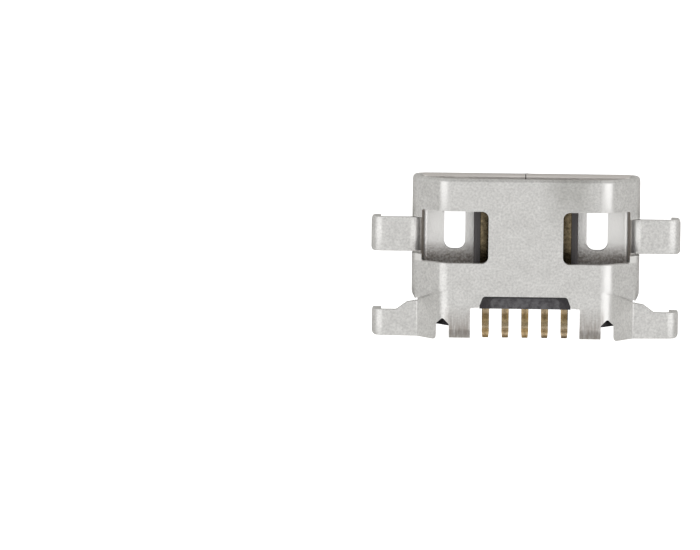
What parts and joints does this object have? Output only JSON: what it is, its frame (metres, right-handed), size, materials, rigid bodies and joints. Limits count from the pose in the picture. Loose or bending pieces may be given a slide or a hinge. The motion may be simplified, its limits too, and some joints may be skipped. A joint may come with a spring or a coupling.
{
  "type": "charging port",
  "caption": "Board-mounted charging port: a folded metal shell with wings, legs, windows and latch slots round a dark insulator with a tongue and gold contacts.",
  "frame": {"origin": "centre of the bounding box in X and Y, at the lowest point of the two raised lead-ins on the wide plate", "axes": "+X across the mouth, +Y from the mouth to the contact feet, so a plug enters along +Y, and +Z from the wide plate to the narrow plate"},
  "size_m": [0.0102, 0.0054, 0.0026],
  "materials": {
    "plated_sheet": "satin nickel plating",
    "insulator_plastic": "moulded, dark blue-black",
    "gilded_contact": "thin gold plating"
  },
  "bodies": {
    "root": {"shell": "plated_sheet", "insulator": "insulator_plastic", "contact_1": "gilded_contact", "contact_2": "gilded_contact", "contact_3": "gilded_contact", "contact_4": "gilded_contact", "contact_5": "gilded_contact"}
  },
  "joints": []
}
